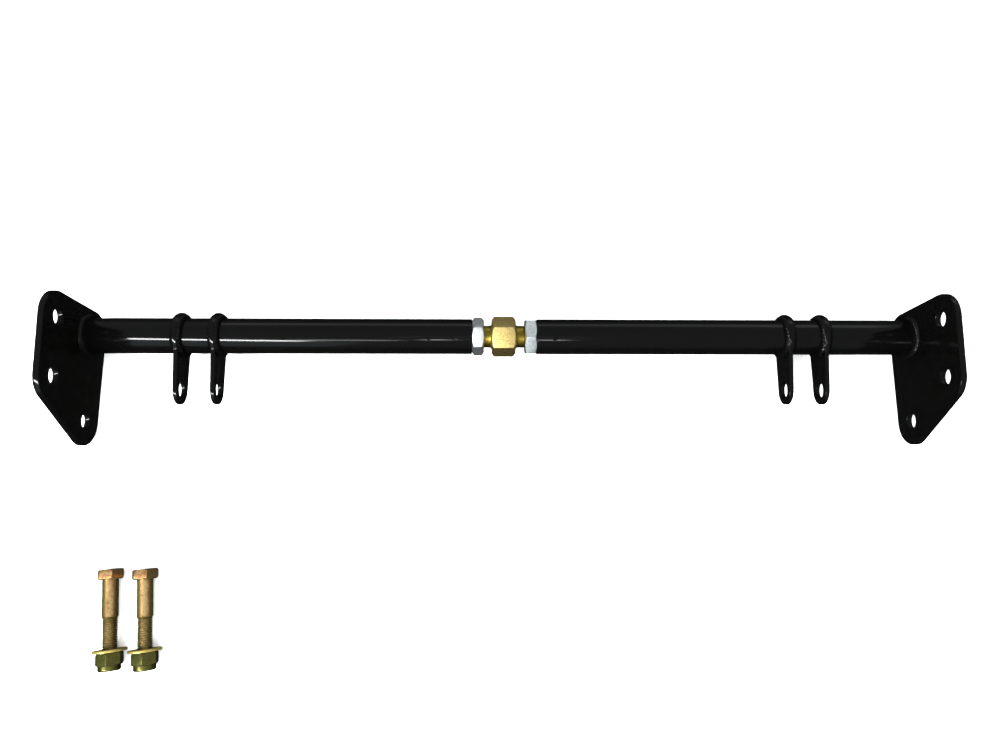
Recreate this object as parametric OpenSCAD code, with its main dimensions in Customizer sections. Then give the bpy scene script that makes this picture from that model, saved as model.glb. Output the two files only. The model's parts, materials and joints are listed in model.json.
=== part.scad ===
// Adjustable cross bar: two tubes with bolt-on end plates, joined by a turnbuckle, with two clevises
// and the two bolts that go through them. It lies on a floor, on the far edges of its end plates.
// X runs along the bar, Y across it and Z up. The origin is the tubes' axis at the middle of the hexagon.

/* [Tubes] */
// Outside diameter of both tubes
tube_od = 38.1; // [32:0.1:44]
// Wall of both tubes
tube_wall = 3.05; // [2:0.05:4]
// Length of each tube
tube_length = 411; // [340:1:600]

/* [Turnbuckle] */
// Outside diameter of the two threaded studs
stud_d = 24; // [20:0.5:24]
// Advance of the studs' threads in one turn
stud_pitch = 3; // [2:0.5:3]
// Length of each stud beyond the hexagon
stud_length = 72; // [60:1:90]
// Distance across the hexagon's flats
hex_af = 38.1; // [34:0.1:42]
// Length of the hexagon along the bar
hex_length = 26; // [20:0.5:40]
// Radius of the fillets where the studs meet the hexagon
stud_fillet = 2.5; // [1:0.5:4]
// Stud left bare between the left jam nut and the hexagon
left_gap = 8.2; // [6:0.1:12]
// Stud left bare between the right jam nut and the hexagon
right_gap = 9.8; // [6:0.1:12]
// Distance across the jam nuts' flats
jam_af = 36; // [33:0.5:40]
// Thickness of the jam nuts
jam_thick = 13; // [10:0.5:15]
// Length of the threaded bungs inside the tubes' ends
bung_length = 60; // [45:1:70]

/* [End plates] */
// Thickness of the end plates
plate_thick = 6.35; // [5:0.05:10]
// Radius of the end plates' corners, which are round about the holes
plate_corner_r = 26; // [22:0.5:28]
// Diameter of the holes in the end plates
plate_hole_d = 16.7; // [10:0.1:18]

/* [Clevises] */
// Diameter of the lugs' rings
lug_ring_d = 50; // [46:0.1:54]
// Width of the lugs' tabs where they leave the ring
lug_neck_w = 37; // [32:0.1:40]
// Diameter of the lugs' rounded ends
lug_end_d = 31.5; // [28:0.1:34]
// Thickness of the lugs
lug_thick = 4.8; // [4:0.05:8]
// How far the lugs lean down from level, in degrees
lug_lean = 3.5; // [0:0.5:8]
// Distance from the tubes' axis to the lugs' holes
lug_reach = 58.5; // [52:0.1:64]
// Diameter of the lugs' holes
lug_hole_d = 16.7; // [12:0.1:17]
// Distance from a plate's inner face to the middle of the outer lug
outer_lug_from_plate = 98.8; // [80:0.1:120]
// Distance between the middles of a clevis's two lugs
lug_spacing = 39.1; // [36:0.1:60]

/* [Loose bolts] */
// Diameter of the bolts
bolt_d = 15.875; // [15:0.005:16]
// Advance of the bolts' threads in one turn
bolt_pitch = 2.309; // [2:0.001:2.5]
// Length of the bolts below the head
bolt_length = 76.2; // [70:0.1:90]
// Length of the bolts' threads
bolt_thread = 38.1; // [34:0.1:44]
// Distance across the flats of the bolts' heads and nuts
bolt_af = 23.8; // [22:0.1:26]
// Height of the bolts' heads
bolt_head = 10.3; // [9:0.1:11]
// Distance from the head to the washer, as the hardware lies
washer_reach = 69.5; // [66:0.1:71]
// Outside diameter of the washers
washer_od = 33.3; // [30:0.1:36]
// Bore of the washers
washer_id = 17.5; // [16.6:0.1:18]
// Thickness of the washers
washer_thick = 2.6; // [2:0.1:3.2]
// Height of the lock nuts
lock_nut_height = 18.5; // [16:0.1:20]
// Height of the nylon rings
nylon_height = 4.6; // [3:0.1:5]
// Left bolt's place: the middle of its head's bearing face, along the bar and across it
left_bolt_x = -411.3; // [-440:0.1:-300]
// Distance between the two bolts
bolt_spacing = 35.7; // [34:0.1:60]
// Bearing faces of the heads, measured across the bar from its axis
bolt_y = -256; // [-330:1:-180]
// How far the bolts are turned on the floor from square to the bar, in degrees
bolt_turn = 5.8; // [-10:0.1:10]

/* [Welds] */
// Leg of the welds
weld_leg = 4.4; // [3:0.1:5.5]
// Diameter of the plug welds that hold the bungs
plug_d = 8; // [6:0.1:10]

/* [Hidden] */
$fn = 96;
black = "#141415";
zinc = "#b9c0c6";
gold = "#b99a4a";
dark_gold = "#8a7c45";
nylon = "#d9d6c8";

tube_r = tube_od / 2;
bore_r = tube_r - tube_wall;
stud_r = stud_d / 2;
thread_play = 0.08;    // radial play of every thread, which is drawn as a plain cylinder
face_play = 0.05;      // between a jam nut and the tube's end
slip = 0.1;            // between a tube and the rings of its lugs
left_end_x = -(hex_length / 2 + left_gap + jam_thick + face_play);
right_end_x = hex_length / 2 + right_gap + jam_thick + face_play;
left_plugs = [19, 46];         // rows of plug welds, from the tube's inner end
right_plugs = [19];
plug_turn = 13;                // the plug welds lean this far from the top
plug_proud = 0.5;
weld_bulge = 0.68;             // how far a weld's middle stands out from the corner, as a share of its leg

// The middles of the end plate's round corners, as [across the bar, up]. The first three have a hole.
plate_corners = [[5, 62.3], [-54.5, 59.8], [-91.5, -8.4], [3, -8.4]];
plate_holes = [for (i = [0:2]) plate_corners[i]];

// Hexagons, turned about the bar from a flat straight up.
hex_turn = 15.8;
left_jam_turn = 14.8;
right_jam_turn = 30 + 14.7;
head_turn = 0;
lock_nut_turn = 17.8;
chamfer_start = 0.96;          // an end face's circle, as a share of the hexagon's inner circle

stud_chamfer = stud_pitch / 2;
bolt_chamfer = bolt_pitch * 0.7;
thread_relief = 0.15;          // a bolt's threads are this much smaller in radius than its shank
thread_r = bolt_d / 2 - thread_relief;

// The bolts' tilt: the washer's rim and a flat of the head's hexagon rest on the floor.
floor_z = plate_corners[3][1] - plate_corner_r;
hex_chamfer = 2.6;             // how far the rounding of a hexagon's corners runs along it
jam_chamfer = 2.3;
head_chamfer = 1.6;
flat_start = head_chamfer * (1 - chamfer_start) / (2 / sqrt(3) - chamfer_start);
bolt_tilt = atan((washer_od - bolt_af) / 2 / (washer_reach + bolt_head - flat_start));
bolt_z = floor_z + washer_od / 2 * cos(bolt_tilt) - washer_reach * sin(bolt_tilt);

// A cylinder along +X that starts at x.
module bar(x, r, length) translate([x, 0, 0]) rotate([0, 90, 0]) cylinder(r = r, h = length);

// A ring along +X that starts at x, with a plain bore.
module ring(x, r, bore, length) difference() {
    bar(x, r, length);
    bar(x - 1, bore, length + 2);
}

// An outline drawn as [across, up], made into a plate that starts at x.
module slab(x, thick) translate([x, 0, 0]) rotate([90, 0, 90]) linear_extrude(thick) children();

// A hexagonal prism along +X, turned about its axis from a flat straight up, with both ends' corners
// rounded off by a cone.
module hex_prism(x, across_flats, length, turn, chamfer)
    translate([x, 0, 0]) rotate([0, 90, 0]) rotate([0, 0, turn]) intersection() {
        rotate([0, 0, 30]) cylinder(r = across_flats / sqrt(3), h = length, $fn = 6);
        rotate_extrude() polygon([[0, 0], [across_flats / 2 * chamfer_start, 0],
            [across_flats / sqrt(3), chamfer], [across_flats / sqrt(3), length - chamfer],
            [across_flats / 2 * chamfer_start, length], [0, length]]);
    }

// Places what was drawn for the right half; side -1 mirrors it for the left half.
module on_side(side) translate([side < 0 ? left_end_x : right_end_x, 0, 0]) facing(side) children();

module facing(side) {
    if (side < 0) mirror([1, 0, 0]) children();
    else children();
}

// The cylinders of the plug welds, through both walls of the tube.
module plug_bars(side) for (x = side < 0 ? left_plugs : right_plugs, turn = [0, 180])
    translate([x, 0, 0]) rotate([plug_turn + turn, 0, 0]) cylinder(d = plug_d, h = tube_od);

// The tube, from its threaded end, with the holes that the plug welds fill.
module tube(side) color(black) on_side(side) difference() {
    bar(0, tube_r, tube_length);
    bar(-1, bore_r, tube_length + 2);
    plug_bars(side);
}

module threaded_bung(side) color(zinc) on_side(side)
    ring(0, bore_r, stud_r + thread_play, bung_length);

module plug_welds(side) color(black) on_side(side) intersection() {
    plug_bars(side);
    ring(0, tube_r + plug_proud, bore_r, bung_length);
}

// The outline round equal circles about the given middles, which run anticlockwise.
function outward(a, b) = [b[1] - a[1], a[0] - b[0]] / norm(b - a);
module rounded_outline(p, r) {
    polygon([for (i = [0:len(p) - 1]) let (a = p[i], b = p[(i + 1) % len(p)])
        each [a + r * outward(a, b), b + r * outward(a, b)]]);
    for (c = p) translate(c) circle(r = r);
}

module end_plate(side) color(black) on_side(side) difference() {
    slab(tube_length, plate_thick) rounded_outline(plate_corners, plate_corner_r);
    for (h = plate_holes)
        translate([0, h[0], h[1]]) bar(tube_length - 1, plate_hole_d / 2, plate_thick + 2);
}

// A fillet weld round the tube, against a face at x; way says to which side of the face it lies.
module ring_weld(x, way) translate([x, 0, 0]) rotate([0, 90 * way, 0]) rotate_extrude()
    polygon([[tube_r, 0], [tube_r + weld_leg, 0],
        [tube_r + weld_leg * weld_bulge, weld_leg * weld_bulge], [tube_r, weld_leg]]);

module plate_weld(side) color(black) on_side(side) ring_weld(tube_length, -1);

// The lug: a ring round the tube and a tapered tab with a round end and a hole.
lug_neck = 16;                 // where the tab's straight edges start inside the ring
lug_slope = atan((lug_neck_w - lug_end_d) / 2 / (lug_reach - lug_neck));
module lug_outline() rotate(lug_lean) {
    circle(d = lug_ring_d);
    translate([-lug_reach, 0]) circle(d = lug_end_d);
    polygon([for (q = [[1, 0], [1, 1], [-1, 1], [-1, 0]])
        q[1] == 0 ? [-lug_neck, q[0] * lug_neck_w / 2]
            : [-lug_reach - lug_end_d / 2 * sin(lug_slope), q[0] * lug_end_d / 2 * cos(lug_slope)]]);
}

function lug_x(outer) = tube_length - outer_lug_from_plate - (outer ? 0 : lug_spacing) - lug_thick / 2;

module lug(side, outer) color(black) on_side(side) difference() {
    slab(lug_x(outer), lug_thick) lug_outline();
    bar(lug_x(outer) - 1, tube_r + slip, lug_thick + 2);
    rotate([lug_lean, 0, 0]) translate([0, -lug_reach, 0])
        bar(lug_x(outer) - 1, lug_hole_d / 2, lug_thick + 2);
}

module lug_welds(side, outer) color(black) on_side(side) {
    ring_weld(lug_x(outer), -1);
    ring_weld(lug_x(outer) + lug_thick, 1);
}

// The hexagon with its two studs, one with a left-hand and one with a right-hand thread.
module adjuster() color(gold) {
    hex_prism(-hex_length / 2, hex_af, hex_length, hex_turn, hex_chamfer);
    for (side = [-1, 1]) facing(side) translate([hex_length / 2, 0, 0]) rotate([0, 90, 0]) rotate_extrude()
        polygon(concat([[0, -1], [stud_r + stud_fillet, -1]],
            [for (a = [0:15:90]) [stud_r + stud_fillet * (1 - sin(a)), stud_fillet * (1 - cos(a))]],
            [[stud_r, stud_length - stud_chamfer], [stud_r - stud_chamfer, stud_length],
                [0, stud_length]]));
}

module jam_nut(side, turn) color(zinc) on_side(side) difference() {
    hex_prism(-jam_thick - face_play, jam_af, jam_thick, turn, jam_chamfer);
    bar(-jam_thick - 1, stud_r + thread_play, jam_thick + 2);
}

// Places what was drawn along +X from the bearing face of a bolt's head, as the bolt lies on the floor.
module bolt_place(i) translate([left_bolt_x + i * bolt_spacing, bolt_y, bolt_z])
    rotate([0, 0, bolt_turn - 90]) rotate([0, -bolt_tilt, 0]) children();

module bolt(i) color(dark_gold) bolt_place(i) {
    hex_prism(-bolt_head, bolt_af, bolt_head, head_turn, head_chamfer);
    rotate([0, 90, 0]) rotate_extrude()
        polygon([[0, -1], [bolt_d / 2, -1], [bolt_d / 2, bolt_length - bolt_thread],
            [thread_r, bolt_length - bolt_thread], [thread_r, bolt_length - bolt_chamfer],
            [thread_r - bolt_chamfer, bolt_length], [0, bolt_length]]);
}

module washer(i) color(gold) bolt_place(i) ring(washer_reach, washer_od / 2, washer_id / 2, washer_thick);

// The steel part of a lock nut, with the pocket at its far end that holds the nylon ring.
lock_nut_x = washer_reach + washer_thick + face_play;
collar_r = bolt_af / 2 * 0.93;
collar_bend = 2;               // radius, near enough, of the collar's rounded end
pocket_r = bolt_d / 2 + 2;
lip = 0.9;                     // the rolled edge that keeps the nylon in
module lock_nut(i) color(dark_gold) bolt_place(i) translate([lock_nut_x, 0, 0]) difference() {
    union() {
        hex_prism(0, bolt_af, lock_nut_height - nylon_height - lip, lock_nut_turn, head_chamfer);
        rotate([0, 90, 0]) rotate_extrude() polygon([[0, 1], [collar_r, 1],
            [collar_r, lock_nut_height - collar_bend],
            [collar_r - collar_bend * 0.3, lock_nut_height - collar_bend * 0.3],
            [collar_r - collar_bend, lock_nut_height], [0, lock_nut_height]]);
    }
    bar(-1, thread_r + thread_play, lock_nut_height + 2);
    bar(lock_nut_height - nylon_height - lip, pocket_r, nylon_height);
}

module nylon_ring(i) color(nylon) bolt_place(i) translate([lock_nut_x, 0, 0])
    ring(lock_nut_height - nylon_height - lip, pocket_r, thread_r + thread_play, nylon_height);

tube(-1);  // left_tube
threaded_bung(-1);  // left_threaded_bung
plug_welds(-1);  // left_plug_welds
end_plate(-1);  // left_end_plate
plate_weld(-1);  // left_plate_weld
lug(-1, true);  // left_outer_lug
lug_welds(-1, true);  // left_outer_lug_welds
lug(-1, false);  // left_inner_lug
lug_welds(-1, false);  // left_inner_lug_welds
tube(1);  // right_tube
threaded_bung(1);  // right_threaded_bung
plug_welds(1);  // right_plug_welds
end_plate(1);  // right_end_plate
plate_weld(1);  // right_plate_weld
lug(1, true);  // right_outer_lug
lug_welds(1, true);  // right_outer_lug_welds
lug(1, false);  // right_inner_lug
lug_welds(1, false);  // right_inner_lug_welds
adjuster();
jam_nut(-1, left_jam_turn);  // left_jam_nut
jam_nut(1, right_jam_turn);  // right_jam_nut
bolt(0);  // left_bolt
washer(0);  // left_washer
lock_nut(0);  // left_lock_nut
nylon_ring(0);  // left_nylon_ring
bolt(1);  // right_bolt
washer(1);  // right_washer
lock_nut(1);  // right_lock_nut
nylon_ring(1);  // right_nylon_ring
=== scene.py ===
import json
import math

import bmesh
import bpy
from mathutils import Matrix, Vector


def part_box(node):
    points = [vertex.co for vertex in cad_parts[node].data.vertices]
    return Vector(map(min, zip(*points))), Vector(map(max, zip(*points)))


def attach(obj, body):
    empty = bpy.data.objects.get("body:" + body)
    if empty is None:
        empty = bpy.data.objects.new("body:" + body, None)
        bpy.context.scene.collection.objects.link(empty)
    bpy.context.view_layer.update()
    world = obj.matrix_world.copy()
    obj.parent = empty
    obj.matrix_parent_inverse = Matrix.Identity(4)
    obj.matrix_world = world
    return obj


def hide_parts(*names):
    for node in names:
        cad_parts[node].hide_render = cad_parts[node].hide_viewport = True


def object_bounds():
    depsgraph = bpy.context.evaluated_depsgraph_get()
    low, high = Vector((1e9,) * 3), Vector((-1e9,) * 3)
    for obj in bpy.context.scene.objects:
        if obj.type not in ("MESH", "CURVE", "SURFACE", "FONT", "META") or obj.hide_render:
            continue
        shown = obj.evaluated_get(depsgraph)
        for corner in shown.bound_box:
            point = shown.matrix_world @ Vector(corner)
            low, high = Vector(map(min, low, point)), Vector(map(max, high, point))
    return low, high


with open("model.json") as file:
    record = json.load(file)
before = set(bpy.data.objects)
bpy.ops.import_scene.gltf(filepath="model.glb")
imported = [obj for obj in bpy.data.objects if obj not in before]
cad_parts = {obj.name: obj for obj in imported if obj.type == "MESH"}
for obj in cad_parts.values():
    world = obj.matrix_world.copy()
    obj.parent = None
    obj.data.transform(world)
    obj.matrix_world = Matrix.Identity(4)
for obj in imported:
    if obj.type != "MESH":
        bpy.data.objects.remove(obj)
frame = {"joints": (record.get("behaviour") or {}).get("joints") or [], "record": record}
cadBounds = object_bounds()
mm = 0.001
sides = {"left": -1, "right": 1}


# Places, taken from the frame.

def mountPlace(name):
    mount = next(m for m in frame["record"]["mounts"] if m["name"] == name)
    return Vector(mount["pos_m"])


def jointAxis(name):
    joint = next(j for j in frame["joints"] if j["name"] == name)
    return Vector(joint["axis"]).normalized()


def boxMiddle(node):
    low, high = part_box(node)
    return (low + high) / 2


def alongBar(node):
    low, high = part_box(node)
    return low.x, high.x


def innerFace(side, node):
    # The face of a node that looks at the middle of the bar.
    low, high = alongBar(node)
    return high if sides[side] < 0 else low


# Shapes.

def roundedPath(corners, steps=5):
    # Each corner is (x, y, radius); the path closes on itself and its corners become arcs.
    points = []
    for i, (x, y, radius) in enumerate(corners):
        here = Vector((x, y))
        if radius == 0:
            points.append(here)
            continue
        before = (Vector(corners[i - 1][:2]) - here).normalized()
        after = (Vector(corners[(i + 1) % len(corners)][:2]) - here).normalized()
        half = math.acos(max(-1, min(1, before.dot(after)))) / 2
        middle = here + (before + after).normalized() * radius / math.sin(half)
        start = here + before * radius / math.tan(half) - middle
        end = here + after * radius / math.tan(half) - middle
        sweep = math.pi - 2 * half
        for k in range(steps + 1):
            t = k / steps
            blend = start * math.sin((1 - t) * sweep) + end * math.sin(t * sweep)
            points.append(middle + blend / math.sin(sweep))
    return points


def turned(profile, steps=128):
    # A closed outline of (along X, radius) points, turned once about X.
    bm = bmesh.new()
    ring = [bm.verts.new((x, 0, radius)) for x, radius in profile]
    edges = [bm.edges.new(pair) for pair in zip(ring, ring[1:] + ring[:1])]
    bmesh.ops.spin(bm, geom=ring + edges, cent=(0, 0, 0), axis=(1, 0, 0),
                   angle=2 * math.pi, steps=steps, use_merge=True)
    cleanUp(bm)
    return bm


def cleanUp(bm):
    bmesh.ops.delete(bm, geom=[e for e in bm.edges if not e.link_faces], context="EDGES")
    bmesh.ops.remove_doubles(bm, verts=bm.verts, dist=0.002 * mm)
    bmesh.ops.dissolve_degenerate(bm, edges=bm.edges, dist=0.001 * mm)
    bmesh.ops.recalc_face_normals(bm, faces=bm.faces)


def hexagonBar(flats, start, end, turn, edgeRadius):
    # A hexagonal bar along X with softened long edges; turn is counted from a flat straight up.
    bm = bmesh.new()
    bmesh.ops.create_cone(bm, cap_ends=True, segments=6, radius1=flats / math.sqrt(3),
                          radius2=flats / math.sqrt(3), depth=end - start)
    longEdges = [e for e in bm.edges if abs(e.verts[0].co.z - e.verts[1].co.z) > (end - start) / 2]
    bmesh.ops.bevel(bm, geom=longEdges, offset=edgeRadius, offset_type="WIDTH", affect="EDGES",
                    segments=4, profile=0.5, material=-1, clamp_overlap=True)
    flat = max(bm.faces, key=lambda f: f.calc_area() if abs(f.normal.z) < 0.1 else 0)
    lean = math.atan2(flat.normal.y, flat.normal.x)
    place = (Matrix.Translation(((start + end) / 2, 0, 0)) @ Matrix.Rotation(turn, 4, "X")
             @ Matrix.Rotation(math.radians(90), 4, "Y") @ Matrix.Rotation(math.pi - lean, 4, "Z"))
    bmesh.ops.transform(bm, matrix=place, verts=bm.verts)
    bmesh.ops.recalc_face_normals(bm, faces=bm.faces)
    return bm


def threaded(radius, pitch, start, end, hand=1, steps=48):
    # A screw thread along X: one pitch of its outline swept round, cut square at both ends.
    depth = 0.5413 * pitch
    outline = ((0, 0), (1 / 16, 0), (3 / 8, depth), (5 / 8, depth), (15 / 16, 0), (1, 0))
    turns = math.ceil((end - start) / pitch) + 1
    bm = bmesh.new()
    line = [bm.verts.new((start + (t - 1) * pitch, 0, radius - drop)) for t, drop in outline]
    edges = [bm.edges.new(pair) for pair in zip(line, line[1:])]
    bmesh.ops.spin(bm, geom=line + edges, cent=(0, 0, 0), axis=(hand, 0, 0),
                   dvec=(pitch / steps, 0, 0), angle=2 * math.pi * turns, steps=steps * turns)
    bmesh.ops.remove_doubles(bm, verts=bm.verts, dist=0.01 * mm)
    for x, way in ((start, -1), (end, 1)):
        bmesh.ops.bisect_plane(bm, geom=bm.verts[:] + bm.edges[:] + bm.faces[:], dist=0.001 * mm,
                               plane_co=(x, 0, 0), plane_no=(way, 0, 0), clear_outer=True)
    bmesh.ops.remove_doubles(bm, verts=bm.verts, dist=0.01 * mm)
    bmesh.ops.holes_fill(bm, edges=[e for e in bm.edges if e.is_boundary], sides=0)
    bmesh.ops.recalc_face_normals(bm, faces=bm.faces)
    return bm


def keepInside(bm, limit):
    # Draws every point in to the radius that limit(x) allows there.
    for vert in bm.verts:
        radius = math.hypot(vert.co.y, vert.co.z)
        allowed = limit(vert.co.x)
        if radius > allowed:
            vert.co.y *= allowed / radius
            vert.co.z *= allowed / radius


def objectFrom(bm, name):
    mesh = bpy.data.meshes.new(name)
    bm.to_mesh(mesh)
    bm.free()
    piece = bpy.data.objects.new(name, mesh)
    bpy.context.scene.collection.objects.link(piece)
    return piece


def combined(body, tool, operation):
    # Joins, cuts or intersects two closed shapes, and leaves the result in body.
    other = objectFrom(tool, "tool")
    change = body.modifiers.new("combine", "BOOLEAN")
    change.operation = operation
    change.solver = "EXACT"
    change.object = other
    bakeModifiers(body)
    bpy.data.objects.remove(other)
    closeGaps(body)


def closeGaps(piece):
    # Welds the slivers that a cut can leave, and closes what is still open.
    bm = bmesh.new()
    bm.from_mesh(piece.data)
    bmesh.ops.remove_doubles(bm, verts=bm.verts, dist=0.001 * mm)
    bmesh.ops.dissolve_degenerate(bm, edges=bm.edges, dist=0.0005 * mm)
    bmesh.ops.holes_fill(bm, edges=[e for e in bm.edges if e.is_boundary], sides=0)
    bmesh.ops.recalc_face_normals(bm, faces=bm.faces)
    bm.to_mesh(piece.data)
    bm.free()


def bakeModifiers(piece):
    graph = bpy.context.evaluated_depsgraph_get()
    result = bpy.data.meshes.new_from_object(piece.evaluated_get(graph))
    piece.modifiers.clear()
    old = piece.data
    piece.data = result
    bpy.data.meshes.remove(old)


def softenEdges(piece, width, angle=28):
    bevel = piece.modifiers.new("soften", "BEVEL")
    bevel.width = width
    bevel.segments = 3
    bevel.limit_method = "ANGLE"
    bevel.angle_limit = math.radians(angle)
    bevel.miter_outer = "MITER_ARC"
    bakeModifiers(piece)


def finishPiece(piece, material, body, slot, *nodes, sharp=38):
    bm = bmesh.new()
    bm.from_mesh(piece.data)
    bmesh.ops.remove_doubles(bm, verts=bm.verts, dist=0.001 * mm)
    bmesh.ops.recalc_face_normals(bm, faces=bm.faces)
    bm.to_mesh(piece.data)
    bm.free()
    piece.data.materials.clear()
    piece.data.materials.append(material)
    piece.data.shade_smooth()
    piece.data.set_sharp_from_angle(angle=math.radians(sharp))
    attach(piece, body)
    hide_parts(*nodes)


def flatPlate(name, contours, thickness, edgeRadius, start):
    # Contours drawn as (Y, Z), made into a plate along X whose edges and holes are rounded.
    curve = bpy.data.curves.new(name, "CURVE")
    curve.dimensions = "2D"
    curve.fill_mode = "BOTH"
    curve.extrude = thickness / 2 - edgeRadius
    curve.bevel_depth = edgeRadius
    curve.bevel_resolution = 3
    curve.offset = -edgeRadius
    for contour in contours:
        spline = curve.splines.new("POLY")
        spline.points.add(len(contour) - 1)
        for point, (y, z) in zip(spline.points, contour):
            point.co = (y, z, 0, 1)
        spline.use_cyclic_u = True
    drawn = bpy.data.objects.new(name, curve)
    bpy.context.scene.collection.objects.link(drawn)
    graph = bpy.context.evaluated_depsgraph_get()
    mesh = bpy.data.meshes.new_from_object(drawn.evaluated_get(graph))
    bpy.data.objects.remove(drawn)
    upright = Matrix(((0, 0, 1, start + thickness / 2), (1, 0, 0, 0), (0, 1, 0, 0), (0, 0, 0, 1)))
    mesh.transform(upright)
    plate = bpy.data.objects.new(name, mesh)
    bpy.context.scene.collection.objects.link(plate)
    return plate


def arc(middle, radius, start, end, steps):
    # Points on a circle from one angle to another, both in radians.
    angles = [start + (end - start) * k / steps for k in range(steps + 1)]
    return [(middle[0] + radius * math.cos(a), middle[1] + radius * math.sin(a)) for a in angles]


def circle(middle, radius, steps=64):
    return arc(middle, radius, 0, -2 * math.pi * (steps - 1) / steps, steps - 1)


# Finishes.

def hexColour(code):
    channels = [int(code[i:i + 2], 16) / 255 for i in (1, 3, 5)]
    linear = [c / 12.92 if c <= 0.04045 else ((c + 0.055) / 1.055) ** 2.4 for c in channels]
    return (*linear, 1.0)


def addNode(tree, kind, settings=None, links=None):
    node = tree.nodes.new(kind)
    for name, value in (settings or {}).items():
        if name in node.inputs:
            node.inputs[name].default_value = value
        else:
            setattr(node, name, value)
    for socket, source in (links or {}).items():
        tree.links.new(source, node.inputs[socket])
    return node


def newFinish(name):
    # An empty finish with its shader, and the object's own coordinates in metres.
    material = bpy.data.materials.new(name)
    material.use_nodes = True
    tree = material.node_tree
    tree.nodes.clear()
    shader = addNode(tree, "ShaderNodeBsdfPrincipled")
    addNode(tree, "ShaderNodeOutputMaterial", links={"Surface": shader.outputs["BSDF"]})
    place = addNode(tree, "ShaderNodeTexCoord").outputs["Object"]
    return material, tree, shader, place


def noise(tree, place, size, detail=2.0, roughness=0.5, distortion=0.0):
    # Soft blotches about size across.
    return addNode(tree, "ShaderNodeTexNoise", {"Scale": 1 / size, "Detail": detail,
                   "Roughness": roughness, "Distortion": distortion}, {"Vector": place})


def colourSteps(tree, source, steps):
    ramp = addNode(tree, "ShaderNodeValToRGB", links={"Fac": source})
    stops = ramp.color_ramp.elements
    while len(stops) < len(steps):
        stops.new(0.5)
    for stop, (position, code) in zip(stops, steps):
        stop.position = position
        stop.color = hexColour(code)
    return ramp.outputs["Color"]


def between(tree, source, low, high, start=0.3, end=0.7):
    return addNode(tree, "ShaderNodeMapRange", {"From Min": start, "From Max": end,
                   "To Min": low, "To Max": high}, {"Value": source}).outputs["Result"]


def mixed(tree, kind, factor, first, second):
    mix = addNode(tree, "ShaderNodeMix", {"data_type": "RGBA", "blend_type": kind})
    mix.inputs[0].default_value = factor if isinstance(factor, float) else 0.5
    if not isinstance(factor, float):
        tree.links.new(factor, mix.inputs[0])
    tree.links.new(first, mix.inputs[6])
    tree.links.new(second, mix.inputs[7])
    return mix.outputs[2]


def powderCoat():
    # Black gloss powder coat: deep and shiny, with a fine orange peel that breaks up its highlights.
    material, tree, shader, place = newFinish("blackGlossPowderCoat")
    peel = noise(tree, place, 2.6 * mm, detail=1.5)
    sag = noise(tree, place, 11 * mm, detail=1.0)
    dust = noise(tree, place, 0.6 * mm, detail=3.0)
    haze = noise(tree, place, 22 * mm, detail=3.0)
    shade = colourSteps(tree, dust.outputs["Fac"], ((0.3, "#020202"), (0.66, "#040404"), (0.8, "#0F0F11")))
    wave = addNode(tree, "ShaderNodeBump", {"Strength": 0.35, "Distance": 0.05 * mm},
                   {"Height": sag.outputs["Fac"]})
    dimple = addNode(tree, "ShaderNodeBump", {"Strength": 0.3, "Distance": 0.012 * mm},
                     {"Height": peel.outputs["Fac"], "Normal": wave.outputs["Normal"]})
    tree.links.new(shade, shader.inputs["Base Color"])
    tree.links.new(between(tree, haze.outputs["Fac"], 0.08, 0.15), shader.inputs["Roughness"])
    tree.links.new(dimple.outputs["Normal"], shader.inputs["Normal"])
    shader.inputs["Specular IOR Level"].default_value = 0.1
    return material


def platedMetal(name, colours, patch, roughness, metallic=1.0, facingSheenSpread=None, speckle="#D2D2D2", ends=None):
    # Zinc plate with its passivated colour in soft patches, over the fine grain of the steel.
    # With a spread for the facing colour, the colour runs from its lightest where the metal faces the
    # camera to darker as it turns away: partly the film's own change of hue, partly painted highlight and
    # shade.
    # Where ends is given, as (distance, colour), the metal farther than that from the middle is tinted.
    material, tree, shader, place = newFinish(name)
    patches = noise(tree, place, patch, detail=4.0, roughness=0.6, distortion=0.4).outputs["Fac"]
    speck = noise(tree, place, 0.9 * mm, detail=2.0, roughness=0.7).outputs["Fac"]
    grain = noise(tree, place, 0.35 * mm, detail=2.0).outputs["Fac"]
    if facingSheenSpread:
        # Painted sheen: how squarely the metal faces the camera picks the colour, lightest face-on as a
        # painted highlight and darker at the rim as painted shade.
        edge = addNode(tree, "ShaderNodeLayerWeight", {"Blend": 0.5}).outputs["Facing"]
        shift = between(tree, patches, -facingSheenSpread, facingSheenSpread, 0.25, 0.75)
        both = addNode(tree, "ShaderNodeMath", {"operation": "ADD"}, {0: edge, 1: shift})
        patches = both.outputs["Value"]
    colour = colourSteps(tree, patches, colours)
    spotted = colourSteps(tree, speck, ((0.36, speckle), (0.52, "#FFFFFF"), (0.8, "#EDEDED")))
    colour = mixed(tree, "MULTIPLY", 0.75, colour, spotted)
    if ends:
        along = addNode(tree, "ShaderNodeSeparateXYZ", links={"Vector": place}).outputs["X"]
        away = addNode(tree, "ShaderNodeMath", {"operation": "ABSOLUTE"}, {0: along}).outputs["Value"]
        beyond = between(tree, away, 0, 1, ends[0], ends[0] + 1 * mm)
        tint = addNode(tree, "ShaderNodeRGB")
        tint.outputs[0].default_value = hexColour(ends[1])
        tinted = mixed(tree, "MULTIPLY", 1.0, colour, tint.outputs[0])
        colour = mixed(tree, "MIX", beyond, colour, tinted)
    bump = addNode(tree, "ShaderNodeBump", {"Strength": 0.5, "Distance": 0.006 * mm}, {"Height": grain})
    tree.links.new(colour, shader.inputs["Base Color"])
    shader.inputs["Metallic"].default_value = metallic
    tree.links.new(between(tree, speck, *roughness), shader.inputs["Roughness"])
    tree.links.new(bump.outputs["Normal"], shader.inputs["Normal"])
    return material


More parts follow.
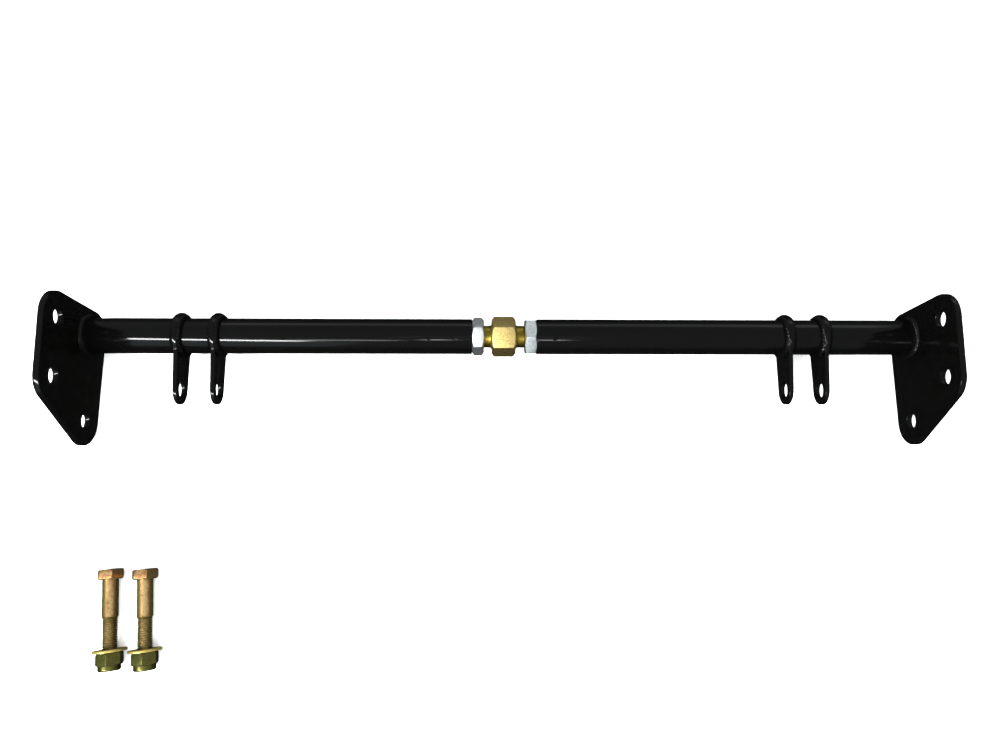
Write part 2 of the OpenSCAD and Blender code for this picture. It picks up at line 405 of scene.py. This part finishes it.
def nylonFinish():
    # Milky nylon: slightly see-through, with a soft moulded sheen.
    material, tree, shader, place = newFinish("naturalNylon")
    cloud = noise(tree, place, 1.5 * mm, detail=3.0)
    tree.links.new(colourSteps(tree, cloud.outputs["Fac"], ((0.3, "#CFCBBB"), (0.7, "#E2DECF"))),
                   shader.inputs["Base Color"])
    tree.links.new(between(tree, cloud.outputs["Fac"], 0.32, 0.45), shader.inputs["Roughness"])
    shader.inputs["Subsurface Weight"].default_value = 0.3
    shader.inputs["Subsurface Scale"].default_value = 1.0 * mm
    return material


def floorFinish():
    # Matt white paper, with a tone so faint that it only keeps the floor from looking empty.
    material, tree, shader, place = newFinish("paleFloor")
    tone = noise(tree, place, 300 * mm, detail=2.0)
    tree.links.new(colourSteps(tree, tone.outputs["Fac"], ((0.3, "#F1F1F0"), (0.7, "#F5F5F5"))),
                   shader.inputs["Base Color"])
    shader.inputs["Roughness"].default_value = 0.9
    return material


black = powderCoat()
clearZinc = platedMetal("clearZincPlate", ((0.3, "#B0B7B9"), (0.5, "#C9CFD0"), (0.72, "#DADFE0")), 3 * mm,
                        (0.3, 0.5))
yellowZinc = platedMetal("yellowZincPlate", ((0.28, "#BBA05C"), (0.5, "#CDB672"), (0.72, "#DDCA90")),
                         1.8 * mm, (0.28, 0.45), speckle="#A8A8A8", ends=(13.2 * mm, "#9C9A66"))
goldZinc = platedMetal("goldZincPlate", ((0.28, "#A08D4A"), (0.5, "#B7A359"), (0.72, "#CBB977")), 6 * mm,
                       (0.26, 0.4), metallic=0.85)
# The bolts are painted lightest where they face the camera, a painted highlight stripe, and turn dark olive
# at their rims, partly the film's hue and partly painted shade.
dichromate = platedMetal("iridescentZincPlatePaintedSheen",
                         ((0.0, "#A08A5C"), (0.08, "#86633F"), (0.18, "#6A5034"), (0.32, "#65642B"),
                          (0.9, "#434C1C")), 14 * mm, (0.24, 0.38), metallic=0.85, facingSheenSpread=0.12)
# The lock nuts are painted lighter face-on and darker towards their rims, partly the film's hue and partly
# painted shade.
oliveZinc = platedMetal("oliveZincPlate", ((0.05, "#4E4C22"), (0.3, "#3A3B16"), (0.7, "#2A2E10")), 8 * mm,
                        (0.24, 0.38), metallic=0.85, facingSheenSpread=0.15)
nylon = nylonFinish()


# Tubes and bungs.

tubeLook = {"wall": 3.05 * mm, "endRadius": 0.7 * mm, "steps": 160}


def tube(side):
    start, end = alongBar(f"{side}_tube")
    low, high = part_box(f"{side}_tube")
    radius = (high.y - low.y) / 2
    bore = radius - tubeLook["wall"]
    soft = tubeLook["endRadius"]
    profile = roundedPath([(start, bore, soft), (start, radius, soft),
                           (end, radius, soft), (end, bore, soft)])
    piece = objectFrom(turned(profile, tubeLook["steps"]), f"{side}Tube")
    finishPiece(piece, black, f"{side}_half", "black_powder_coat", f"{side}_tube")
    return radius


bungLook = {"bore": 12.08 * mm, "countersink": 1.6 * mm, "edge": 0.4 * mm}


def threadedBung(side, tubeRadius):
    start, end = alongBar(f"{side}_threaded_bung")
    radius = tubeRadius - tubeLook["wall"]
    bore, sink = bungLook["bore"], bungLook["countersink"]
    edge = bungLook["edge"]
    profile = roundedPath([(start + sink, bore, 0), (start, bore + sink, 0), (start, radius, edge),
                           (end, radius, edge), (end, bore + sink, 0), (end - sink, bore, 0)])
    piece = objectFrom(turned(profile, 96), f"{side}ThreadedBung")
    finishPiece(piece, clearZinc, f"{side}_half", "zinc", f"{side}_threaded_bung")


# Welds.

beadLook = {"leg": 3.7 * mm, "rise": 5.2 * mm, "bulge": 1 * mm, "sink": 0.5 * mm, "steps": 240,
            "across": 11, "ripple": 3.6 * mm, "rippleDepth": 0.55 * mm, "sweep": 0.9,
            "unevenness": 0.4 * mm}


def ringBead(radius, face, way, seed):
    # A weld round the tube in the corner with a face at x = face; way is the side it lies on.
    leg, rise, sink = beadLook["leg"], beadLook["rise"], beadLook["sink"]
    across = beadLook["across"]
    bm = bmesh.new()
    line = []
    for k in range(across + 1):
        t = k / across
        bow = beadLook["bulge"] * math.sin(math.pi * t)
        height = rise * (1 - t) + bow * leg / rise
        line.append(bm.verts.new((face + way * (leg * t + bow), 0, radius + height)))
    line.append(bm.verts.new((face + way * leg, 0, radius - sink)))
    line.append(bm.verts.new((face - way * sink, 0, radius - sink)))
    line.append(bm.verts.new((face - way * sink, 0, radius + rise)))
    edges = [bm.edges.new(pair) for pair in zip(line, line[1:] + line[:1])]
    bmesh.ops.spin(bm, geom=line + edges, cent=(0, 0, 0), axis=(1, 0, 0),
                   angle=2 * math.pi, steps=beadLook["steps"], use_merge=True)
    cleanUp(bm)
    rippleBead(bm, radius, face, way, seed)
    return bm


def rippleBead(bm, radius, face, way, seed):
    leg = beadLook["leg"]
    ripples = round(2 * math.pi * (radius + leg / 2) / beadLook["ripple"])
    for vert in bm.verts:
        turn = math.atan2(vert.co.z, vert.co.y)
        reach = math.hypot(vert.co.y, vert.co.z)
        out = Vector((vert.co.x - face, reach - radius))
        if out.x * way < 0 or out.y < 0 or out.length < leg * 0.5:
            continue
        t = math.atan2(abs(out.x), out.y) / (math.pi / 2)
        crest = math.sin(math.pi * t)
        lag = beadLook["sweep"] * 4 * t * (1 - t)
        wave = math.cos(ripples * turn - lag * math.pi + seed)
        wander = (math.sin(3 * turn + seed * 2.1) + 0.6 * math.sin(7 * turn + seed) +
                  0.4 * math.sin(17 * turn + seed * 3.3))
        push = crest * (beadLook["rippleDepth"] * (wave - 0.3) + beadLook["unevenness"] * wander * 0.4)
        push += beadLook["unevenness"] * 0.25 * wander * (1 - crest)
        along = out.normalized() * push
        vert.co.x += along.x
        vert.co.y *= (reach + along.y) / reach
        vert.co.z *= (reach + along.y) / reach


def plateWeld(side, radius):
    face = innerFace(side, f"{side}_end_plate")
    bm = ringBead(radius, face, -sides[side], 0.7 if side == "left" else 2.9)
    piece = objectFrom(bm, f"{side}PlateWeld")
    finishPiece(piece, black, f"{side}_half", "black_powder_coat", f"{side}_plate_weld", sharp=70)


def lugWelds(side, which, radius, seed):
    low, high = alongBar(f"{side}_{which}_lug")
    first = objectFrom(ringBead(radius, low, -1, seed), f"{side}{which.capitalize()}LugWelds")
    second = ringBead(radius, high, 1, seed + 1.9)
    second.from_mesh(first.data)
    second.to_mesh(first.data)
    second.free()
    finishPiece(first, black, f"{side}_half", "black_powder_coat", f"{side}_{which}_lug_welds", sharp=70)


plugLook = {"radius": 4.1 * mm, "proud": 0.55 * mm, "turn": 13, "rings": 7, "steps": 36,
            "depth": 2.6 * mm, "least": 0.03 * mm, "height": 0.8, "swirl": 0.12,
            "rows": {"left": (19 * mm, 46 * mm), "right": (19 * mm,)}}


def plugWelds(side, tubeRadius):
    # Flat-topped lumps of weld in holes through the tube's wall, on two opposite sides.
    inner = innerFace(side, f"{side}_tube")
    bm = bmesh.new()
    for row, distance in enumerate(plugLook["rows"][side]):
        for opposite in (0, 1):
            plugDome(bm, tubeRadius, inner + sides[side] * distance, opposite, row)
    cleanUp(bm)
    piece = objectFrom(bm, f"{side}PlugWelds")
    finishPiece(piece, black, f"{side}_half", "black_powder_coat", f"{side}_plug_welds", sharp=70)


def plugDome(bm, tubeRadius, x, opposite, row):
    rings, steps = plugLook["rings"], plugLook["steps"]
    disc = bmesh.ops.create_circle(bm, cap_ends=True, cap_tris=False, segments=steps,
                                   radius=plugLook["radius"])["verts"]
    top = [f for f in bm.faces if disc[0] in f.verts][0]
    faces = [top]
    made = set(disc)
    for ring in range(rings):
        inset = bmesh.ops.inset_region(bm, faces=faces, thickness=plugLook["radius"] / (rings + 1))
        made.update(v for f in inset["faces"] for v in f.verts)
    made.update(top.verts)
    bmesh.ops.poke(bm, faces=[top])
    nearTop = plugLook["radius"] / rings
    made.update(v for f in bm.faces if f.is_valid for v in f.verts if v.co.length < nearTop)
    skirt = bmesh.ops.extrude_edge_only(bm, edges=[e for e in bm.edges if e.is_boundary
                                                   and e.verts[0] in made])
    deep = [g for g in skirt["geom"] if isinstance(g, bmesh.types.BMVert)]
    made.update(deep)
    for vert in list(made):
        flat = vert.co.copy()
        share = min(1, flat.length / plugLook["radius"])
        swirl = math.sin(3 * math.atan2(flat.y, flat.x) + 9 * share + row)
        relief = plugLook["height"] + plugLook["swirl"] * swirl
        height = plugLook["proud"] * (1 - share ** 4) * relief + plugLook["least"]
        if vert in deep:
            height = -plugLook["depth"]
        lean = flat.y / tubeRadius + math.radians(plugLook["turn"]) + math.pi * opposite
        reach = tubeRadius + height
        vert.co = Vector((x + flat.x, -reach * math.sin(lean), reach * math.cos(lean)))
    bmesh.ops.contextual_create(bm, geom=[e for e in bm.edges if e.is_boundary and e.verts[0] in deep])


# End plates.

plateLook = {"cornerRadius": 26 * mm, "heelStep": 2 * mm, "hole": 16.7 * mm, "edgeRadius": 0.9 * mm,
             "arcSteps": 20}


def aroundCorners(corners, radius, steps):
    # The outline round equal circles about corners that run anticlockwise.
    outline = []
    for i, corner in enumerate(corners):
        incoming = corner - corners[i - 1]
        outgoing = corners[(i + 1) % len(corners)] - corner
        start = math.atan2(-incoming.x, incoming.y)
        end = math.atan2(-outgoing.x, outgoing.y)
        if end < start:
            end += 2 * math.pi
        outline += arc(corner, radius, start, end, steps)
    return outline


def endPlate(side):
    start, end = alongBar(f"{side}_end_plate")
    low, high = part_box(f"{side}_end_plate")
    radius = plateLook["cornerRadius"]
    holes = [mountPlace(f"{side}_plate_{which}_hole").yz for which in ("upper", "middle", "lower")]
    heel = Vector((holes[0].x - plateLook["heelStep"], low.z + radius))
    outline = aroundCorners([*holes, heel], radius, plateLook["arcSteps"])
    bores = [circle(hole, plateLook["hole"] / 2) for hole in holes]
    piece = flatPlate(f"{side}EndPlate", [outline, *bores], end - start, plateLook["edgeRadius"], start)
    finishPiece(piece, black, f"{side}_half", "black_powder_coat", f"{side}_end_plate")


# Lugs.

lugLook = {"ringRadius": 25 * mm, "bore": 19.15 * mm, "hole": 16.7 * mm, "neck": 16 * mm,
           "neckWidth": 37 * mm, "endRadius": 15.75 * mm, "fillet": 3 * mm, "edgeRadius": 1 * mm}


def lug(side, which):
    start, end = alongBar(f"{side}_{which}_lug")
    eye = mountPlace(f"{side}_{which}_lug_hole")
    reach = math.hypot(eye.y, eye.z)
    lean = math.atan2(eye.z, eye.y)
    ring, tip, fillet = lugLook["ringRadius"], lugLook["endRadius"], lugLook["fillet"]
    slope = math.atan((lugLook["neckWidth"] / 2 - tip) / (reach - lugLook["neck"]))
    edge = Vector((math.cos(slope), -math.sin(slope)))
    out = Vector((math.sin(slope), math.cos(slope)))
    offset = out.dot(Vector((lugLook["neck"], lugLook["neckWidth"] / 2)))
    middle = out * (offset + fillet) + edge * math.sqrt((ring + fillet) ** 2 - (offset + fillet) ** 2)
    onRing = math.atan2(middle.y, middle.x)
    half = arc((reach, 0), tip, 0, math.pi / 2 - slope, 14)
    half += arc(middle, fillet, -math.pi / 2 - slope, onRing - math.pi, 6)
    half += arc((0, 0), ring, onRing, math.pi, 28)[1:-1]
    outline = half + [(-ring, 0)] + [(x, -y) for x, y in reversed(half[1:])]
    turn = Matrix.Rotation(lean, 2)
    outline = [tuple(turn @ Vector(p)) for p in outline]
    holes = [circle((0, 0), lugLook["bore"], 96), circle((eye.y, eye.z), lugLook["hole"] / 2)]
    name = f"{side}{which.capitalize()}Lug"
    piece = flatPlate(name, [outline, *holes], end - start, lugLook["edgeRadius"], start)
    finishPiece(piece, black, f"{side}_half", "black_powder_coat", f"{side}_{which}_lug")


# Adjuster and jam nuts.

hexLook = {"flats": 38.1 * mm, "turn": 15.8, "chamfer": 2.6 * mm, "faceShare": 0.96,
           "spare": 0.05 * mm, "edge": 0.5 * mm, "soften": 0.3 * mm, "halfLength": 13 * mm,
           "stud": 12 * mm, "rooted": 3 * mm, "fillet": 2.5 * mm, "plainNeck": 8.5 * mm,
           "neckSpare": 0.2 * mm, "runOut": 1.5 * mm, "runOutDrop": 1.6 * mm, "pitch": 3 * mm,
           "tip": 1.6 * mm, "tipSlope": 1.1}


def barrel(start, end, flats, chamfers):
    # The turned shape that rounds off a hexagon's corners; chamfers are (start, end) lengths.
    small, large = flats / 2 * hexLook["faceShare"], flats / math.sqrt(3) + hexLook["spare"]
    first, last = chamfers
    path = [(start, 0), (start, small if first else large)]
    path += [(start + first, large)] if first else []
    path += [(end - last, large)] if last else []
    path += [(end, small if last else large), (end, 0)]
    return turned([Vector(p) for p in path], 144)


def hexagonPiece(name, start, end, flats, turn, chamfers, edge, soften):
    body = objectFrom(hexagonBar(flats, start, end, math.radians(turn), edge), name)
    combined(body, barrel(start, end, flats, chamfers), "INTERSECT")
    softenEdges(body, soften)
    return body


def studShape(start, length, way, hand):
    # A stud with a plain neck beside the hexagon, then its thread, then a chamfered tip.
    look = hexLook
    lowest, highest = sorted((start + way * look["plainNeck"], start + way * length))
    bm = threaded(look["stud"], look["pitch"], lowest, highest, hand)
    tip = start + way * length

    def limit(x):
        fromTip = abs(tip - x)
        return look["stud"] - max(0, look["tip"] - fromTip) * look["tipSlope"]
    keepInside(bm, limit)
    return bm


def neckShape(start, way):
    look = hexLook
    radius, fillet = look["stud"], look["fillet"]
    rooted = start - way * look["rooted"]
    path = [(rooted, 0), (rooted, radius + fillet), (start, radius + fillet)]
    for k in range(1, 9):
        a = math.pi / 2 * k / 8
        path.append((start + way * fillet * (1 - math.cos(a)), radius + fillet * (1 - math.sin(a))))
    last = start + way * (look["plainNeck"] + look["runOut"])
    path += [(start + way * (look["plainNeck"] - look["neckSpare"]), radius),
             (last, radius - look["runOutDrop"]), (last, 0)]
    return turned([Vector(p) for p in path], 96)


def adjuster():
    low, high = alongBar("adjuster")
    look = hexLook
    half = look["halfLength"]
    body = hexagonPiece("turnbuckleHexagon", -half, half, look["flats"], look["turn"],
                        (look["chamfer"], look["chamfer"]), look["edge"], look["soften"])
    for way, end in ((-1, low), (1, high)):
        combined(body, neckShape(way * half, way), "UNION")
        combined(body, studShape(way * half, abs(end) - half, way, way), "UNION")
    finishPiece(body, yellowZinc, "adjuster", "yellow_zinc", "adjuster")


jamLook = {"flats": 36 * mm, "chamfer": 2.3 * mm, "edge": 0.5 * mm, "soften": 0.3 * mm,
           "bore": 12.08 * mm, "sink": 1.5 * mm, "turn": {"left": 14.8, "right": 44.7}}


def boreCutter(start, end, bore, sink):
    spare = 1 * mm
    return turned([Vector(p) for p in ((start - spare, 0), (start - spare, bore + sink + spare),
                                       (start + sink, bore), (end - sink, bore),
                                       (end + spare, bore + sink + spare), (end + spare, 0))], 96)


def jamNut(side):
    start, end = alongBar(f"{side}_jam_nut")
    look = jamLook
    body = hexagonPiece(f"{side}JamNut", start, end, look["flats"], look["turn"][side],
                        (look["chamfer"], look["chamfer"]), look["edge"], look["soften"])
    combined(body, boreCutter(start, end, look["bore"], look["sink"]), "DIFFERENCE")
    finishPiece(body, clearZinc, f"{side}_jam_nut", "zinc", f"{side}_jam_nut")


# Loose bolts.

boltLook = {"radius": 7.9375 * mm, "length": 76.2 * mm, "thread": 38.1 * mm, "pitch": 2.309 * mm,
            "flats": 23.8 * mm, "head": 10.3 * mm, "chamfer": 1.6 * mm, "washerFace": 0.4 * mm,
            "relief": 0.15 * mm, "threadGap": 0.2 * mm, "fillet": 0.8 * mm, "step": 0.5 * mm,
            "runOut": 1.8 * mm, "tip": 1.7 * mm, "tipSlope": 0.95, "rooted": 2 * mm, "facing": 0.95,
            "facingStep": 0.2 * mm, "rootShare": 0.55, "edge": 0.4 * mm, "soften": 0.25 * mm}
washerLook = {"reach": 69.5 * mm, "outer": 16.65 * mm, "bore": 8.75 * mm, "thickness": 2.6 * mm,
              "edge": 0.5 * mm}
nutLook = {"gap": 0.05 * mm, "height": 18.5 * mm, "turn": 17.8, "collar": 11.067 * mm, "nylon": 4.6 * mm,
           "lip": 0.9 * mm, "pocket": 9.9375 * mm, "sink": 1.2 * mm, "rooted": 4 * mm, "collarStep": 1 * mm,
           "collarBend": 2 * mm, "bendSteps": 8, "play": 0.05 * mm, "drillDrop": 1.1 * mm,
           "drillSink": 0.8 * mm, "lipRise": (0.6 * mm, 1.2 * mm), "spare": 1 * mm, "threadSpare": 2 * mm}


def boltPlace(side):
    # From a bolt's own frame, along +X from its head's bearing face, to where it lies.
    along = -jointAxis(f"{side}_lock_nut_turn")
    across = Vector((0, 0, 1)).cross(along).normalized()
    head = boxMiddle(f"{side}_washer") - along * (washerLook["reach"] + washerLook["thickness"] / 2)
    turn = Matrix((along, across, along.cross(across))).transposed().to_4x4()
    return Matrix.Translation(head) @ turn


def boltShape():
    look = boltLook
    radius, fillet, relief = look["radius"], look["fillet"], look["relief"]
    body = hexagonPiece("bolt", -look["head"], -look["washerFace"], look["flats"], 0,
                        (look["chamfer"], look["chamfer"] / 2), look["edge"], look["soften"])
    plainEnd = look["length"] - look["thread"]
    facing = look["flats"] / 2 * look["facing"]
    path = [(-look["rooted"], 0), (-look["rooted"], facing - look["facingStep"]),
            (-look["washerFace"], facing), (0, facing), (0, radius + fillet)]
    for k in range(1, 6):
        a = math.pi / 2 * k / 5
        path.append((fillet * (1 - math.cos(a)), radius + fillet * (1 - math.sin(a))))
    root = radius - relief - look["rootShare"] * look["pitch"]
    path += [(plainEnd - look["step"], radius), (plainEnd, radius - look["step"]),
             (plainEnd + look["runOut"], root), (plainEnd + look["runOut"], 0)]
    combined(body, turned([Vector(p) for p in path], 96), "UNION")
    thread = threaded(radius - relief, look["pitch"], plainEnd + look["threadGap"], look["length"])

    def limit(x):
        return radius - relief - max(0, x - look["length"] + look["tip"]) * look["tipSlope"]

    keepInside(thread, limit)
    combined(body, thread, "UNION")
    return body


def washerShape():
    # Stamped: its edge is rounded on the side the punch came from, and sharper on the other.
    look = washerLook
    start, end, edge = look["reach"], look["reach"] + look["thickness"], look["edge"]
    profile = roundedPath([(start, look["bore"], edge / 3), (start, look["outer"], edge * 2),
                           (end, look["outer"], edge / 2), (end, look["bore"], edge)])
    return objectFrom(turned(profile), "washer")


def lockNutShape():
    look = nutLook
    start = washerLook["reach"] + washerLook["thickness"] + look["gap"]
    end = start + look["height"]
    hexEnd = end - look["nylon"] - look["lip"]
    body = hexagonPiece("lockNut", start, hexEnd, boltLook["flats"], look["turn"],
                        (boltLook["chamfer"], boltLook["chamfer"]), boltLook["edge"], boltLook["soften"])
    rooted = hexEnd - look["rooted"]
    crown = roundedPath([(rooted, 0, 0), (rooted, look["collar"] - look["collarStep"], 0),
                         (hexEnd, look["collar"], 0), (end, look["collar"], look["collarBend"]),
                         (end, 0, 0)], look["bendSteps"])
    combined(body, turned(crown, 96), "UNION")
    hole = boltLook["radius"] - boltLook["relief"] + look["play"]
    drill = boreCutter(start, end, hole - look["drillDrop"], look["sink"] + look["drillSink"])
    combined(body, drill, "DIFFERENCE")
    ringEnd, past = hexEnd + look["nylon"], end + look["spare"]
    inner, outer = look["lipRise"]
    pocket = [(hexEnd, 0), (hexEnd, look["pocket"]), (ringEnd, look["pocket"]),
              (ringEnd, hole + inner), (past, hole + outer), (past, 0)]
    combined(body, turned([Vector(p) for p in pocket], 96), "DIFFERENCE")
    # The nut's thread starts a whole number of turns from the bolt's, so that they mesh.
    boltThread = boltLook["length"] - boltLook["thread"] + boltLook["threadGap"]
    pitch = boltLook["pitch"]
    turns = math.floor((start - look["threadSpare"] - boltThread) / pitch)
    cutter = threaded(hole, pitch, boltThread + turns * pitch, end + look["threadSpare"])
    combined(body, cutter, "DIFFERENCE")
    return body


nylonLook = {"entry": 0.5 * mm, "corner": 0.1 * mm, "rim": 0.3 * mm, "exit": 0.9 * mm}


def nylonShape():
    look = nutLook
    end = washerLook["reach"] + washerLook["thickness"] + look["gap"] + look["height"] - look["lip"]
    start = end - look["nylon"]
    bore = boltLook["radius"] - boltLook["relief"] + look["play"]
    profile = roundedPath([(start, bore, nylonLook["entry"]), (start, look["pocket"], nylonLook["corner"]),
                           (end, look["pocket"], nylonLook["rim"]), (end, bore, nylonLook["exit"])])
    return objectFrom(turned(profile, 96), "nylon")


def looseBolts():
    # Both bolts are the same hardware, so each shape is made once and laid down twice.
    hardware = (("bolt", boltShape(), dichromate, "bolt", "dichromate_bolt"),
                ("washer", washerShape(), goldZinc, "washer", "yellow_zinc"),
                ("lock_nut", lockNutShape(), oliveZinc, "lock_nut", "dichromate_bolt"),
                ("nylon_ring", nylonShape(), nylon, "lock_nut", "nylon"))
    for node, shape, material, body, slot in hardware:
        for side in sides:
            words = "".join(word.capitalize() for word in node.split("_"))
            piece = bpy.data.objects.new(f"{side}{words}", shape.data.copy())
            bpy.context.scene.collection.objects.link(piece)
            piece.data.transform(boltPlace(side))
            finishPiece(piece, material, f"{side}_{body}", slot, f"{side}_{node}")
        bpy.data.objects.remove(shape)


# Making everything.

for side in sides:
    tubeRadius = tube(side)
    threadedBung(side, tubeRadius)
    plugWelds(side, tubeRadius)
    endPlate(side)
    plateWeld(side, tubeRadius)
    for count, which in enumerate(("outer", "inner")):
        lug(side, which)
        lugWelds(side, which, tubeRadius, 1.3 * count + (0.4 if side == "left" else 3.1))
    jamNut(side)
    print(f"{side} half made")
adjuster()
print("adjuster made")
looseBolts()
print("bolts made")


# Floor, light and camera.

floorHeight = cadBounds[0].z
bm = bmesh.new()
bmesh.ops.create_grid(bm, x_segments=8, y_segments=8, size=4)
floor = objectFrom(bm, "floor")
floor.data.transform(Matrix.Translation((0, 0, floorHeight - 0.05 * mm)))
floor.data.materials.append(floorFinish())
floor.visible_glossy = False


def softLight(name, place, target, width, height, power, inReflections=True, tint="#FFFFFF"):
    light = bpy.data.lights.new(name, "AREA")
    light.color = hexColour(tint)[:3]
    light.shape = "RECTANGLE"
    light.size = width
    light.size_y = height
    light.energy = power
    holder = bpy.data.objects.new(name, light)
    holder.location = place
    holder.rotation_mode = "QUATERNION"
    holder.rotation_quaternion = (Vector(target) - Vector(place)).to_track_quat("-Z", "Y")
    holder.visible_glossy = inReflections
    bpy.context.scene.collection.objects.link(holder)
    return holder


# The overhead light whitens the floor; the others are what the gloss and the metal show.
softLight("overhead", (0, -0.2, 2.2), (0, 0, 0), 3.4, 2.8, 170, inReflections=False)
softLight("front", (0, -0.42, 1.3), (0, 0, 0), 0.3, 0.3, 0.18)
softLight("spark", (0, -0.62, 0.9), (0, 0, 0), 0.09, 0.09, 1.1)
softLight("strip", (-0.98, -0.95, 1.2), (-0.4, 0, 0), 0.95, 0.15, 78)
softLight("stripEnd", (-0.34, -0.95, 1.2), (-0.2, 0, 0), 0.4, 0.13, 4)
softLight("tail", (-0.95, -1.5, 0.75), (-0.3, 0, 0), 1.2, 1.1, 7, tint="#DDEEFA")
softLight("back", (0.2, 1.5, 0.55), (0, 0, 0), 2.4, 0.5, 6)

world = bpy.data.worlds.new("studio")
world.use_nodes = True
sky = world.node_tree
direction = addNode(sky, "ShaderNodeTexCoord").outputs["Generated"]
upward = addNode(sky, "ShaderNodeSeparateXYZ", links={"Vector": direction}).outputs["Z"]
height = between(sky, upward, 0.0, 1.0, -0.25, 0.35)
glow = colourSteps(sky, height, ((0.0, "#39393A"), (1.0, "#D6DADC")))
# Seen directly, behind the floor's far edge, the studio is as pale as the floor.
backdrop = addNode(sky, "ShaderNodeRGB")
backdrop.outputs[0].default_value = hexColour("#F6F7F7")
seen = addNode(sky, "ShaderNodeLightPath").outputs["Is Camera Ray"]
sky.links.new(mixed(sky, "MIX", seen, glow, backdrop.outputs[0]), sky.nodes["Background"].inputs["Color"])
sky.nodes["Background"].inputs["Strength"].default_value = 1.0
bpy.context.scene.world = world
bpy.context.scene.view_settings.view_transform = "Standard"

cameraLook = {"place": (-24.9 * mm, -187.3 * mm, 797.7 * mm), "forward": (0.0259, 0.1786, -0.9836),
              "up": (-0.0013, 0.9839, 0.1787), "lens": 26.99}
lens = bpy.data.cameras.new("camera")
lens.lens = cameraLook["lens"]
lens.sensor_width = 36
camera = bpy.data.objects.new("camera", lens)
backward = -Vector(cameraLook["forward"]).normalized()
right = Vector(cameraLook["up"]).cross(backward).normalized()
axes = Matrix((right, backward.cross(right), backward)).transposed().to_4x4()
camera.matrix_world = Matrix.Translation(cameraLook["place"]) @ axes
bpy.context.scene.collection.objects.link(camera)
bpy.context.scene.camera = camera
print("stage made")
